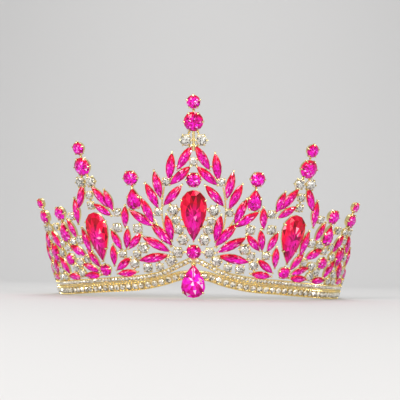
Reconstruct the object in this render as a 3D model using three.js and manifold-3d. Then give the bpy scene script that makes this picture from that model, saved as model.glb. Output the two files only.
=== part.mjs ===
import * as THREE from 'three';
import { mergeVertices } from 'three/addons/utils/BufferGeometryUtils.js';
import Module from 'manifold-3d';

// Tiara: a gold alloy band of two rails that rises to a point at the front, and on it an open
// crown of soldered cups, wires and stones. Millimetres, +Z up, the front faces -Y.

// Band, in plan half an ellipse that runs on past its widest points
const bandHalfWidth = 84;
const bandHalfDepth = 60;
const bandHalfLength = 174;

// Crown: how far its stones reach round each side, how high they rise, and how far it leans
// outward for each millimetre of height
const crownHalfLength = 100;
const crownHeight = 100;
const midHeight = 0.45 * crownHeight;
const lean = 0.4;

// Rails
const lowRailHeight = 5;
const lowRailThickness = 1.8;
const topRailHeight = 2.8;
const topRailThickness = 1.5;
const railSteps = 30;
const postWidth = 1.4;
const eyeletWidth = 5;
const eyeletHoleWidth = 2;
const eyeletClearance = 0.2;

// Cups, wires and the drop's lug
const cupRimWidth = 0.15;
const cupFloorThickness = 0.5;
const stoneGap = 0.3;
const smallCupDepth = 1.6;
const wireWidth = 1;
const wireDepth = 0.9;
const wireBiteLength = 0.7;
const lugWidth = 4.4;
const lugTipWidth = 1.8;
const lugThickness = 1.6;

// Stone sizes at the girdle, and the number of sides
const cuts = {
  round10: { shape: 'round', width: 10, length: 10, sides: 10 },
  round8: { shape: 'round', width: 8, length: 8, sides: 8 },
  round7: { shape: 'round', width: 7, length: 7, sides: 8 },
  round6: { shape: 'round', width: 6, length: 6, sides: 8 },
  clear6: { shape: 'round', width: 6, length: 6, sides: 6 },
  clear5: { shape: 'round', width: 5.4, length: 5.4, sides: 6 },
  pearLarge: { shape: 'pear', width: 14, length: 28, sides: 10 },
  pearDrop: { shape: 'pear', width: 13, length: 18, sides: 10 },
  pearSmall: { shape: 'pear', width: 8, length: 12, sides: 8 },
  leafLarge: { shape: 'leaf', width: 5, length: 16.6, sides: 6 },
  leafNamed: { shape: 'leaf', width: 4.6, length: 14.8, sides: 6 },
  leaf: { shape: 'leaf', width: 4.6, length: 15, sides: 6 },
  leafSmall: { shape: 'leaf', width: 4.2, length: 12, sides: 6 },
};

// Cut of the stones: heights as shares of the width, and the most they come to
const tableShare = 0.56;
const culetShare = 0.34;
const crownShare = 0.2;
const mostCrownHeight = 1.8;
const pavilionShare = 0.2;
const mostPavilionDepth = 1.6;

// Where the stones sit. along is in hundredths of crownHalfLength, measured round the crown
// from the middle of the front at mid height. up is in hundredths of crownHeight above the
// surface that the tiara stands on, and turn leans a stone's top outward. A row with a name
// is a stone of its own, the others are small stones in one piece with their cups. Rows on
// the axis are made once, the others on both sides.
const centreAxis = [
  { name: 'top_round', cut: 'round7', along: 0, up: 98.6, turn: 0 },
  { name: 'peak_round', cut: 'round10', along: 0, up: 89.4, turn: 0 },
  { name: 'middle_round', cut: 'round8', along: 0, up: 61.2, turn: 0 },
  { name: 'centre_pear', cut: 'pearLarge', along: 0, up: 43.3, turn: 180 },
  { name: 'lower_round', cut: 'round8', along: 0, up: 24.8, turn: 0 },
];
const centreSide = [
  { name: 'peak_clear', cut: 'clear6', along: 3.6, up: 80.6, turn: 0 },
  { name: 'upper_leaf', cut: 'leafNamed', along: 4.3, up: 72.1, turn: -31 },
  { name: 'outer_leaf', cut: 'leafNamed', along: 11.2, up: 67.8, turn: -9 },
  { name: 'lower_leaf', cut: 'leafNamed', along: 6.5, up: 63.4, turn: -48 },
  { name: null, cut: 'clear5', along: 14.6, up: 60.4, turn: 0 },
  { name: null, cut: 'leaf', along: 18.2, up: 59, turn: 10 },
  { name: null, cut: 'leaf', along: 21.4, up: 53.4, turn: 24 },
  { name: null, cut: 'leaf', along: 10.6, up: 53.6, turn: -42 },
  { name: null, cut: 'clear6', along: 10.6, up: 46.1, turn: 0 },
  { name: null, cut: 'leaf', along: 13.2, up: 37.2, turn: 10 },
  { name: null, cut: 'clear6', along: 5.9, up: 31, turn: 0 },
  { name: null, cut: 'clear6', along: 8.8, up: 24.4, turn: 0 },
  { name: null, cut: 'clear6', along: 13, up: 19.9, turn: 0 },
  { name: null, cut: 'clear5', along: 27.2, up: 16, turn: 0 },
  { name: null, cut: 'clear5', along: 35.3, up: 18.2, turn: 0 },
  { name: 'fan_leaf_a', cut: 'leafLarge', along: 17.7, up: 33.9, turn: 40 },
  { name: 'fan_leaf_b', cut: 'leafLarge', along: 21.2, up: 28.7, turn: 60 },
  { name: 'fan_leaf_c', cut: 'leafLarge', along: 23.1, up: 21.4, turn: 101 },
];
const firstBridge = [
  { name: 'bridge_round', cut: 'round8', along: 31.8, up: 62.3, turn: 0 },
  { name: 'bridge_pear', cut: 'pearSmall', along: 31.5, up: 52, turn: 0 },
  { name: null, cut: 'leafSmall', along: 37.4, up: 43, turn: -8 },
  { name: null, cut: 'leaf', along: 24.6, up: 46, turn: 22 },
  { name: null, cut: 'leaf', along: 28.4, up: 42, turn: 54 },
  { name: null, cut: 'clear5', along: 41.8, up: 45, turn: 0 },
];
const innerField = [
  { name: null, cut: 'clear5', along: 43, up: 37.1, turn: 0 },
  { name: null, cut: 'clear5', along: 30.9, up: 36.6, turn: 0 },
  { name: null, cut: 'clear6', along: 27.8, up: 27.6, turn: 0 },
  { name: null, cut: 'leafSmall', along: 37.9, up: 31.6, turn: -11 },
  { name: null, cut: 'leafSmall', along: 33.2, up: 30.2, turn: -42 },
  { name: null, cut: 'leafSmall', along: 44.8, up: 30.8, turn: 22 },
  { name: null, cut: 'leafSmall', along: 48.2, up: 22.7, turn: -5 },
  { name: null, cut: 'leafSmall', along: 42.4, up: 18, turn: -52 },
  { name: null, cut: 'leafSmall', along: 40.6, up: 13.2, turn: -84 },
  { name: 'field_round', cut: 'round7', along: 55.8, up: 14.6, turn: 0 },
];
const sideMotif = [
  { name: 'side_top_round', cut: 'round7', along: 57.9, up: 78.2, turn: 0 },
  { name: 'side_peak_round', cut: 'round10', along: 57.8, up: 69, turn: 0 },
  { name: null, cut: 'clear5', along: 54.9, up: 61.2, turn: 0 },
  { name: null, cut: 'clear5', along: 60.4, up: 61.2, turn: 0 },
  { name: null, cut: 'leaf', along: 51, up: 53.2, turn: 35 },
  { name: null, cut: 'leaf', along: 62.4, up: 53.4, turn: -27 },
  { name: null, cut: 'leafSmall', along: 45.7, up: 51.5, turn: 16 },
  { name: null, cut: 'leaf', along: 66.8, up: 47, turn: -8 },
  { name: null, cut: 'leafSmall', along: 51, up: 47, turn: 55 },
  { name: 'side_pear', cut: 'pearLarge', along: 56.4, up: 32.4, turn: 180 },
];
const outerField = [
  { name: null, cut: 'clear5', along: 71.4, up: 42.8, turn: 0 },
  { name: null, cut: 'leafSmall', along: 73.2, up: 36.6, turn: 24 },
  { name: null, cut: 'clear5', along: 70.6, up: 30.2, turn: 0 },
  { name: null, cut: 'leaf', along: 65.4, up: 30.6, turn: 9 },
  { name: null, cut: 'leafSmall', along: 62.8, up: 20.6, turn: 33 },
  { name: null, cut: 'leafSmall', along: 73, up: 24.8, turn: 54 },
  { name: null, cut: 'leafSmall', along: 67.2, up: 16, turn: 70 },
  { name: null, cut: 'leafSmall', along: 68, up: 11.4, turn: 93 },
  { name: 'outer_round', cut: 'round7', along: 84, up: 20.4, turn: 0 },
];
const secondBridge = [
  { name: 'outer_bridge_round', cut: 'round8', along: 82, up: 45.6, turn: 0 },
  { name: 'outer_bridge_pear', cut: 'pearSmall', along: 82, up: 35.6, turn: 0 },
];
const endMotif = [
  { name: 'end_top_round', cut: 'round6', along: 99, up: 52.2, turn: 0 },
  { name: 'end_peak_round', cut: 'round8', along: 99.2, up: 44.6, turn: 0 },
  { name: null, cut: 'leafSmall', along: 93.2, up: 32.4, turn: 38 },
  { name: null, cut: 'leafSmall', along: 105.2, up: 32.4, turn: -38 },
  { name: 'end_pear', cut: 'pearSmall', along: 99.2, up: 24.2, turn: 180 },
  { name: null, cut: 'leafSmall', along: 92.6, up: 11.4, turn: 62 },
  { name: null, cut: 'leafSmall', along: 106, up: 11.2, turn: -62 },
];

// The rails, with along as above: how high the lower rail's underside and the upper rail's
// middle stand, in hundredths of crownHeight
const railPath = [
  { along: 0, low: 10, top: 21.4 },
  { along: 8, low: 9.4, top: 17.9 },
  { along: 18, low: 6.6, top: 13.6 },
  { along: 32, low: 4, top: 11 },
  { along: 55, low: 2.4, top: 9.3 },
  { along: 80, low: 1, top: 7.9 },
  { along: 105, low: 0, top: 6.9 },
  { along: 180, low: 0, top: 6.9 },
];
const postsAlong = [26, 52, 84, 125, 168];

// Long wires behind the cups, on both sides
const longWires = [
  { fromAlong: 15.6, fromUp: 50, toAlong: 13, toUp: 27 },
  { fromAlong: 21.6, fromUp: 41, toAlong: 12.6, toUp: 27 },
];

const degrees = Math.PI / 180;
const goldColour = 0xd9a94e;
const pinkColour = 0xe8148c;
const clearColour = 0xf2f4f8;

const wasm = await Module();
wasm.setup();

// Plan of the crown: a point and the outward direction at an angle round from the front
function planAt(angle, offset) {
  const out = new THREE.Vector2(
    Math.sin(angle) / bandHalfWidth,
    -Math.cos(angle) / bandHalfDepth,
  ).normalize();
  const point = new THREE.Vector2(bandHalfWidth * Math.sin(angle), -bandHalfDepth * Math.cos(angle));
  return { point: point.addScaledVector(out, offset), out };
}

// Distances along the crown at mid height, summed over short steps of the angle
const angleStep = 0.25 * degrees;
const distances = [0];
while (distances[distances.length - 1] < bandHalfLength + eyeletWidth) {
  const angle = (distances.length - 1) * angleStep;
  const here = planAt(angle, lean * midHeight).point;
  const next = planAt(angle + angleStep, lean * midHeight).point;
  distances.push(distances[distances.length - 1] + here.distanceTo(next));
}

function angleAt(along) {
  const distance = Math.abs(along);
  let i = 1;
  while (i < distances.length - 1 && distances[i] < distance) i++;
  const share = (distance - distances[i - 1]) / (distances[i] - distances[i - 1]);
  return Math.sign(along) * (i - 1 + share) * angleStep;
}

function onCrown(along, up, out) {
  const { point } = planAt(angleAt(along), lean * up + out);
  return new THREE.Vector3(point.x, point.y, up);
}

// Lengths from the hundredths in the tables
const alongOf = (hundredths) => crownHalfLength * hundredths / 100;
const upOf = (hundredths) => crownHeight * hundredths / 100;

// Frame of a cup: x along the crown, y up its slope, z outward
function seat(along, up, turn) {
  const { point, out } = planAt(angleAt(along), lean * up);
  const across = new THREE.Vector3(-out.y, out.x, 0);
  const upward = new THREE.Vector3(lean * out.x, lean * out.y, 1).normalize();
  const outward = new THREE.Vector3().crossVectors(across, upward);
  return new THREE.Matrix4().makeBasis(across, upward, outward)
    .setPosition(point.x, point.y, up)
    .multiply(new THREE.Matrix4().makeRotationZ(-turn * degrees));
}

// Outline of a cut, grown by a margin all round, its point or first side at the top
function outline(cut, margin) {
  const corners = [];
  for (let i = 0; i < cut.sides; i++) {
    const a = (i + (cut.shape === 'round' ? 0.5 : 0)) / cut.sides * 2 * Math.PI;
    let x = Math.sin(a);
    if (cut.shape === 'pear') x *= 1.3 * Math.abs(Math.sin(a / 2));
    if (cut.shape === 'leaf') x *= 1.1;
    corners.push(new THREE.Vector2(-cut.width / 2 * x, cut.length / 2 * Math.cos(a)));
  }
  return corners.map((corner, i) => {
    const before = corners[(i + cut.sides - 1) % cut.sides];
    const after = corners[(i + 1) % cut.sides];
    const normalBefore = new THREE.Vector2(corner.y - before.y, before.x - corner.x).normalize();
    const normalAfter = new THREE.Vector2(after.y - corner.y, corner.x - after.x).normalize();
    const shift = normalBefore.clone().add(normalAfter);
    shift.multiplyScalar(margin / (1 + normalBefore.dot(normalAfter)));
    return corner.clone().add(shift);
  });
}

// Closed solid through rings of one outline, each scaled and set at its own height
function loft(points, rings) {
  const n = points.length;
  const positions = [];
  for (const { scale, z } of rings) {
    for (const p of points) positions.push(p.x * scale, p.y * scale, z);
  }
  const indices = [];
  for (let r = 0; r < rings.length - 1; r++) {
    for (let i = 0; i < n; i++) {
      const a = r * n + i;
      const b = r * n + (i + 1) % n;
      indices.push(a, b, b + n, a, b + n, a + n);
    }
  }
  const last = (rings.length - 1) * n;
  for (const [a, b, c] of THREE.ShapeUtils.triangulateShape(points, [])) {
    indices.push(a, c, b);
    indices.push(last + a, last + b, last + c);
  }
  const geometry = new THREE.BufferGeometry();
  geometry.setAttribute('position', new THREE.Float32BufferAttribute(positions, 3));
  geometry.setIndex(indices);
  return geometry;
}

function solid(geometry, matrix) {
  const bare = geometry.clone();
  bare.deleteAttribute('normal');
  bare.deleteAttribute('uv');
  if (matrix) bare.applyMatrix4(matrix);
  const merged = mergeVertices(bare, 1e-4);
  const vertProperties = new Float32Array(merged.attributes.position.array);
  const triVerts = new Uint32Array(merged.index.array);
  return new wasm.Manifold(new wasm.Mesh({ numProp: 3, vertProperties, triVerts }));
}

function join(solids) {
  if (solids.length === 1) return solids[0];
  const half = Math.ceil(solids.length / 2);
  return join(solids.slice(0, half)).add(join(solids.slice(half)));
}

function pieceMesh(body, name, look) {
  const { vertProperties, triVerts } = body.getMesh();
  const geometry = new THREE.BufferGeometry();
  geometry.setAttribute('position', new THREE.BufferAttribute(new Float32Array(vertProperties), 3));
  geometry.setIndex(new THREE.BufferAttribute(new Uint32Array(triVerts), 1));
  const mesh = new THREE.Mesh(geometry, new THREE.MeshStandardMaterial(look));
  mesh.name = name;
  return mesh;
}

function crownOf(cut) {
  return Math.min(crownShare * cut.width, mostCrownHeight);
}

function pavilionOf(cut) {
  return Math.min(pavilionShare * cut.width, mostPavilionDepth);
}

function stone(cut, matrix) {
  return solid(loft(outline(cut, 0), [
    { scale: culetShare, z: -pavilionOf(cut) },
    { scale: 1, z: 0 },
    { scale: tableShare, z: crownOf(cut) },
  ]), matrix);
}

// Cup of a stone of its own, which ends just below the girdle, and the room that the stone
// and its clearance take in it
function cup(cut, matrix) {
  return solid(loft(outline(cut, cupRimWidth), [
    { scale: 1, z: -pavilionOf(cut) - stoneGap - cupFloorThickness },
    { scale: 1, z: -stoneGap },
  ]), matrix);
}

function room(cut, matrix) {
  return solid(loft(outline(cut, stoneGap), [
    { scale: culetShare, z: -pavilionOf(cut) - 1.2 * stoneGap },
    { scale: 1, z: -0.85 * stoneGap },
    { scale: 1, z: crownOf(cut) + stoneGap },
  ]), matrix);
}

// Small stone and its cup as one body
function setStone(cut, matrix) {
  return solid(loft(outline(cut, 0), [
    { scale: 1, z: -smallCupDepth },
    { scale: 1, z: 0 },
    { scale: tableShare, z: crownOf(cut) },
  ]), matrix);
}

// Straight wire between two points, its flat side facing outward
function wire(a, b, outward) {
  const along = new THREE.Vector3().subVectors(b, a);
  const length = along.length() + 2 * wireBiteLength;
  along.normalize();
  const across = new THREE.Vector3().crossVectors(outward, along).normalize();
  const facing = new THREE.Vector3().crossVectors(along, across);
  const section = [
    new THREE.Vector2(-wireWidth / 2, -wireDepth / 2),
    new THREE.Vector2(wireWidth / 2, -wireDepth / 2),
    new THREE.Vector2(0, wireDepth / 2),
  ];
  const matrix = new THREE.Matrix4().makeBasis(across, facing, along)
    .setPosition(a.clone().add(b).multiplyScalar(0.5));
  return solid(loft(section, [{ scale: 1, z: -length / 2 }, { scale: 1, z: length / 2 }]), matrix);
}

// Rails
function railHeights(column) {
  return new THREE.CubicInterpolant(
    railPath.map((row) => alongOf(row.along)),
    railPath.map((row) => upOf(row[column])),
    1,
  );
}
const lowHeights = railHeights('low');
const topHeights = railHeights('top');
const lowUp = (along) => Math.max(lowHeights.evaluate(Math.abs(along))[0], 0) + lowRailHeight / 2;
const topUp = (along) => topHeights.evaluate(Math.abs(along))[0];

function rail(height, thickness, middleUp, steps) {
  const geometry = new THREE.BoxGeometry(2 * bandHalfLength, height, thickness, steps, 1, 1);
  const position = geometry.attributes.position;
  for (let i = 0; i < position.count; i++) {
    const along = position.getX(i);
    const p = onCrown(along, middleUp(along) + position.getY(i), position.getZ(i));
    position.setXYZ(i, p.x, p.y, p.z);
  }
  return solid(geometry);
}

function post(along) {
  const low = lowUp(along);
  const height = topUp(along) - low;
  const matrix = seat(along, low + height / 2, 0);
  return solid(new THREE.BoxGeometry(postWidth, height, wireDepth), matrix);
}

function eyelet(along) {
  const matrix = seat(along, eyeletWidth / 2 + eyeletClearance, 0);
  const disc = { shape: 'round', width: eyeletWidth, length: eyeletWidth, sides: 10 };
  const hole = { shape: 'round', width: eyeletHoleWidth, length: eyeletHoleWidth, sides: 10 };
  const half = lowRailThickness / 2;
  const plate = loft(outline(disc, 0), [{ scale: 1, z: -half }, { scale: 1, z: half }]);
  const bore = loft(outline(hole, 0), [{ scale: 1, z: -2 * half }, { scale: 1, z: 2 * half }]);
  return { plate: solid(plate, matrix), bore: solid(bore, matrix) };
}

// Drop: it hangs upright in front of the rails by a lug, and its cup touches the surface
const dropCut = cuts.pearDrop;
const dropUp = -Math.min(...outline(dropCut, cupRimWidth).map((corner) => corner.y));
const dropY = onCrown(0, lowUp(0), lowRailThickness / 2).y - pavilionOf(dropCut) - stoneGap;
const dropMatrix = new THREE.Matrix4().makeRotationX(Math.PI / 2).setPosition(0, dropY, dropUp);

function lug() {
  const top = onCrown(0, topUp(0), 0);
  const bottom = new THREE.Vector3(0, dropY + pavilionOf(dropCut), dropUp + dropCut.length * 0.36);
  const geometry = new THREE.BoxGeometry(1, 1, lugThickness);
  const position = geometry.attributes.position;
  for (let i = 0; i < position.count; i++) {
    const share = position.getY(i) + 0.5;
    const p = bottom.clone().lerp(top, share);
    const width = lugTipWidth + (lugWidth - lugTipWidth) * share;
    position.setXYZ(i, position.getX(i) * width, p.y - position.getZ(i), p.z);
  }
  return solid(geometry);
}

const tiara = new THREE.Group();
const metal = [];
const rooms = [];
const edges = [];
const gold = { color: goldColour, roughness: 0.25, metalness: 1 };
const glass = {
  pink: { color: pinkColour, roughness: 0.05, metalness: 0 },
  clear: { color: clearColour, roughness: 0.05, metalness: 0 },
};

// Closely spaced points round a cup at the height of its wires
function cupEdge(body, cut, margin, matrix) {
  const corners = outline(cut, margin);
  const points = [];
  corners.forEach((corner, i) => {
    const next = corners[(i + 1) % corners.length];
    const count = Math.ceil(corner.distanceTo(next) / (0.3 * wireWidth));
    for (let k = 0; k < count; k++) {
      const p = corner.clone().lerp(next, k / count);
      points.push(new THREE.Vector3(p.x, p.y, -smallCupDepth / 2).applyMatrix4(matrix));
    }
  });
  return { body, points, outward: new THREE.Vector3().setFromMatrixColumn(matrix, 2) };
}

function setRow(row, side, suffix) {
  const cut = cuts[row.cut];
  const matrix = seat(side * alongOf(row.along), upOf(row.up), side * row.turn);
  const body = row.name === null ? setStone(cut, matrix) : cup(cut, matrix);
  metal.push(body);
  if (side === 1) edges.push(cupEdge(body, cut, row.name === null ? 0 : cupRimWidth, matrix));
  if (row.name === null) return;
  rooms.push(room(cut, matrix));
  const look = row.cut.startsWith('clear') ? glass.clear : glass.pink;
  tiara.add(pieceMesh(stone(cut, matrix), row.name + suffix, look));
}

for (const row of centreAxis) setRow(row, 1, '');
const sideRows = [centreSide, firstBridge, innerField, sideMotif, outerField, secondBridge, endMotif];
for (const row of sideRows.flat()) {
  setRow(row, 1, '_right');
  setRow(row, -1, '_left');
}

metal.push(cup(dropCut, dropMatrix));
rooms.push(room(dropCut, dropMatrix));
tiara.add(pieceMesh(stone(dropCut, dropMatrix), 'drop_pear', glass.pink));
metal.push(lug());

metal.push(rail(lowRailHeight, lowRailThickness, lowUp, railSteps));
const topRail = rail(topRailHeight, topRailThickness, topUp, railSteps);
metal.push(topRail);
for (const along of postsAlong.map(alongOf)) metal.push(post(along), post(-along));

for (const row of longWires) {
  for (const side of [1, -1]) {
    const from = onCrown(side * alongOf(row.fromAlong), upOf(row.fromUp), -smallCupDepth);
    const to = onCrown(side * alongOf(row.toAlong), upOf(row.toUp), -smallCupDepth);
    const end = seat(side * alongOf(row.toAlong), upOf(row.toUp), 0);
    metal.push(wire(from, to, new THREE.Vector3().setFromMatrixColumn(end, 2)));
  }
}

for (const side of [1, -1]) {
  const { plate, bore } = eyelet(side * bandHalfLength);
  metal.push(plate);
  rooms.push(bore);
}

// Solder: starting from the top rail, each cup of the right half is tied by a short wire to
// the nearest cup or rail that is tied already, unless the two touch; the left half mirrors it
const railEdge = { body: topRail, points: [] };
for (let along = 0; along < bandHalfLength; along += wireWidth / 2) {
  railEdge.points.push(onCrown(along, topUp(along), 0));
}

function nearest(a, b) {
  let best = { distance: Infinity };
  for (const p of a.points) {
    for (const q of b.points) {
      const distance = p.distanceTo(q);
      if (distance < best.distance) best = { distance, p, q, from: a.body, outward: b.outward };
    }
  }
  return best;
}

const touchVolume = 0.06 * wireWidth * wireWidth * wireDepth;
let loose = edges.map((edge) => ({ edge, link: nearest(railEdge, edge) }));
while (loose.length > 0) {
  loose.sort((a, b) => a.link.distance - b.link.distance);
  const { edge, link } = loose.shift();
  if (link.from.intersect(edge.body).volume() < touchVolume) {
    const mirror = new THREE.Vector3(-1, 1, 1);
    metal.push(wire(link.p, link.q, link.outward));
    metal.push(wire(
      link.p.clone().multiply(mirror),
      link.q.clone().multiply(mirror),
      link.outward.clone().multiply(mirror),
    ));
  }
  for (const item of loose) {
    const other = nearest(edge, item.edge);
    if (other.distance < item.link.distance) item.link = other;
  }
}

const frame = join(metal).subtract(join(rooms));
tiara.add(pieceMesh(frame, 'crown_frame', gold));

// The origin is under the middle of the tiara's bounding box
const bounds = new THREE.Box3().setFromObject(tiara);
for (const mesh of tiara.children) mesh.geometry.translate(0, -(bounds.min.y + bounds.max.y) / 2, 0);

export default tiara;
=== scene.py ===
import math
import random
import bpy
import numpy as np
from mathutils import Matrix, Vector


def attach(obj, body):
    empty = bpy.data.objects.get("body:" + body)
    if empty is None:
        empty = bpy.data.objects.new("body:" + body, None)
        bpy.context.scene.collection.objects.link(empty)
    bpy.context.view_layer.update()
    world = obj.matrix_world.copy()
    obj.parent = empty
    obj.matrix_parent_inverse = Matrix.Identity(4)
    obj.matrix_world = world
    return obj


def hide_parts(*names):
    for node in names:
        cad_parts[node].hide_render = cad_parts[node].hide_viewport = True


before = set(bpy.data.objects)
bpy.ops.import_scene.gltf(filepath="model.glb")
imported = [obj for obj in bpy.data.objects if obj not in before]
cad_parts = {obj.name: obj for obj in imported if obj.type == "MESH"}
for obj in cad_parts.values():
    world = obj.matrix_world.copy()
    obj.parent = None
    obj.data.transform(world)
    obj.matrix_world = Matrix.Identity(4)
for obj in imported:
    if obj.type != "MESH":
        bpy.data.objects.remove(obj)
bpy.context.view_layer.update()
bpy.ops.object.select_all(action="DESELECT")
random.seed(7)
mm = 0.001

# crown: the same layout as the solids, lengths in mm
crown = {
    "halfWidth": 84, "halfDepth": 60, "centreY": 38.232,  # ellipse of the band
    "lean": 0.4, "midHeight": 45,  # outward lean for each mm of height
    "reach": 174,  # length of half the band at mid height
}


def planAt(angle, offset):
    outX = math.sin(angle) / crown["halfWidth"]
    outY = -math.cos(angle) / crown["halfDepth"]
    size = math.hypot(outX, outY)
    outX, outY = outX / size, outY / size
    x = crown["halfWidth"] * math.sin(angle) + outX * offset
    y = -crown["halfDepth"] * math.cos(angle) + outY * offset
    return x, y + crown["centreY"], outX, outY


angleStep = math.radians(0.25)
distances = [0.0]
while distances[-1] < crown["reach"] + 6:
    offset = crown["lean"] * crown["midHeight"]
    here = planAt((len(distances) - 1) * angleStep, offset)
    there = planAt(len(distances) * angleStep, offset)
    distances.append(distances[-1] + math.dist(here[:2], there[:2]))


def angleAt(along):
    steps = np.interp(abs(along), distances, range(len(distances)))
    return math.copysign(float(steps) * angleStep, along)


def onCrown(along, up, out=0.0):
    x, y, _, _ = planAt(angleAt(along), crown["lean"] * up + out)
    return Vector((x, y, up)) * mm


def seat(along, up, turn=0.0):
    # x along the crown, y up its slope, z outward
    x, y, outX, outY = planAt(angleAt(along), crown["lean"] * up)
    across = Vector((-outY, outX, 0))
    upward = Vector((crown["lean"] * outX, crown["lean"] * outY, 1)).normalized()
    outward = across.cross(upward)
    matrix = Matrix((across, upward, outward)).transposed().to_4x4()
    matrix.translation = Vector((x, y, up)) * mm
    return matrix @ Matrix.Rotation(-math.radians(turn), 4, "Z")


# rails: along, underside of the lower rail, middle of the upper rail. The lower one is drawn a
# little higher than its solid, so that its lip and beads clear the floor
rails = {
    "path": ((0, 10, 21.4), (8, 9.4, 17.9), (18, 6.6, 13.6), (32, 4, 11), (55, 2.4, 9.3),
             (80, 1, 7.9), (105, 0, 6.9), (180, 0, 6.9)),
    "lowHeight": 5, "lowRise": 0.3, "lowThickness": 1.8, "topHeight": 2.8, "topThickness": 1.5,
}


def railHeight(along, column):
    # the same cubic through the rows as in the solids
    rows = rails["path"]
    t = abs(along)
    i = next(k for k in range(1, len(rows)) if t <= rows[k][0])
    t0, t1 = rows[i - 1][0], rows[i][0]
    before = rows[i - 2] if i > 1 else rows[i]
    after = rows[i + 1] if i + 1 < len(rows) else rows[i - 1]
    weightBefore = (t1 - t0) / 2 / (t0 - before[0])
    weightAfter = (t1 - t0) / 2 / (after[0] - t1)
    p = (t - t0) / (t1 - t0)
    shares = (
        (before, -weightBefore * p ** 3 + 2 * weightBefore * p ** 2 - weightBefore * p),
        (rows[i - 1], (1 + weightBefore) * p ** 3 - (1.5 + 2 * weightBefore) * p ** 2
         + (weightBefore - 0.5) * p + 1),
        (rows[i], -(1 + weightAfter) * p ** 3 + (1.5 + weightAfter) * p ** 2 + 0.5 * p),
        (after, weightAfter * p ** 3 - weightAfter * p ** 2),
    )
    return sum(row[column] * share for row, share in shares)


def lowUp(along):
    return max(railHeight(along, 1), 0) + rails["lowHeight"] / 2 + rails["lowRise"]


def topUp(along):
    return railHeight(along, 2)


# camera: the photograph's height, angle and distance
cameraSettings = {"focal": 736.27, "distance": 460, "side": 0.108, "height": 12,
                  "yaw": -0.0402, "pitch": 0.1034, "roll": 0.0172}


def placeCamera():
    s = cameraSettings
    flat = Vector((math.sin(s["yaw"]), math.cos(s["yaw"]), 0))
    right = Vector((math.cos(s["yaw"]), -math.sin(s["yaw"]), 0))
    forward = flat * math.cos(s["pitch"]) + Vector((0, 0, math.sin(s["pitch"])))
    upward = right.cross(forward)
    camRight = right * math.cos(s["roll"]) + upward * math.sin(s["roll"])
    camUp = upward * math.cos(s["roll"]) - right * math.sin(s["roll"])
    matrix = Matrix((camRight, camUp, -forward)).transposed().to_4x4()
    place = right * s["side"] - flat * s["distance"] + Vector((0, crown["centreY"], s["height"]))
    matrix.translation = place * mm
    bpy.ops.object.camera_add()
    camera = bpy.context.object
    camera.name = "photo_camera"
    camera.matrix_world = matrix
    camera.data.sensor_width = 36
    camera.data.lens = 36 * s["focal"] / 400
    camera.data.clip_start = 0.01
    bpy.context.scene.camera = camera


placeCamera()

# stage: pale floor that rises into a backdrop, soft lights
stageSettings = {
    "floor": (0.68, 0.67, 0.66), "world": (0.95, 0.97, 1.0), "worldStrength": 0.5,
    "size": 3.2, "fold": 0.9,
    "lights": {  # place, aim, size, power, colour
        "key_softbox": ((-0.55, -0.9, 0.5), (0, 0, 0.05), 0.3, 8, (1, 0.98, 0.95)),
        "fill_softbox": ((0.8, -0.75, 0.3), (0, 0, 0.05), 0.25, 4, (0.96, 0.98, 1)),
        "top_softbox": ((0.1, 0.2, 1.1), (0, 0, 0.05), 0.6, 2.5, (1, 1, 1)),
        "front_strip": ((0.1, -1.0, 0.16), (0, 0, 0.05), 0.2, 1.5, (1, 0.99, 0.97)),
        "backdrop_light": ((0, 0.5, 1.3), (0, 1.6, 0.5), 0.8, 5, (1, 1, 1)),
    },
}


def addLight(name, place, aim, size, power, colour):
    bpy.ops.object.light_add(type="AREA", location=place)
    light = bpy.context.object
    light.name = name
    light.data.size = size
    light.data.energy = power
    light.data.color = colour
    light.rotation_euler = (Vector(aim) - Vector(place)).to_track_quat("-Z", "Y").to_euler()


def makeStage():
    bpy.ops.mesh.primitive_plane_add(size=stageSettings["size"], location=(0, 0, 0))
    floor = bpy.context.object
    floor.name = "floor"
    for rise in (2, 0):  # the far edge goes up, then the fold is rounded
        bpy.ops.object.mode_set(mode="EDIT")
        bpy.ops.mesh.select_mode(type="EDGE")
        bpy.ops.mesh.select_all(action="DESELECT")
        bpy.ops.object.mode_set(mode="OBJECT")
        for edge in floor.data.edges:
            ends = [floor.data.vertices[i].co for i in edge.vertices]
            edge.select = all(co.y > 1 and co.z < 0.1 for co in ends)
        bpy.ops.object.mode_set(mode="EDIT")
        if rise:
            bpy.ops.mesh.extrude_region_move(TRANSFORM_OT_translate={"value": (0, 0, rise)})
        else:
            bpy.ops.mesh.bevel(offset=stageSettings["fold"], segments=16)
        bpy.ops.object.mode_set(mode="OBJECT")
    bpy.ops.object.shade_smooth()
    paper = bpy.data.materials.new("pale_paper")
    paper.use_nodes = True
    shader = paper.node_tree.nodes["Principled BSDF"]
    shader.inputs["Base Color"].default_value = (*stageSettings["floor"], 1)
    shader.inputs["Roughness"].default_value = 0.85
    floor.data.materials.append(paper)
    world = bpy.data.worlds.new("studio")
    world.use_nodes = True
    world.node_tree.nodes["Background"].inputs["Color"].default_value = (*stageSettings["world"], 1)
    world.node_tree.nodes["Background"].inputs["Strength"].default_value = stageSettings["worldStrength"]
    bpy.context.scene.world = world
    bpy.context.scene.view_settings.view_transform = "Standard"
    for name, settings in stageSettings["lights"].items():
        addLight(name, *settings)


makeStage()
print("camera and stage placed")


# materials
def node(tree, kind, inputs=None, **settings):
    made = tree.nodes.new(kind)
    for key, value in settings.items():
        setattr(made, key, value)
    for key, value in (inputs or {}).items():
        if isinstance(value, bpy.types.NodeSocket):
            tree.links.new(value, made.inputs[key])
        else:
            made.inputs[key].default_value = value
    return made


def newMaterial(name):
    material = bpy.data.materials.new(name)
    material.use_nodes = True
    return material, material.node_tree, material.node_tree.nodes["Principled BSDF"]


def maths(tree, operation, a, b=0.0, clamp=False):
    return node(tree, "ShaderNodeMath", {0: a, 1: b}, operation=operation, use_clamp=clamp).outputs[0]


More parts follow.
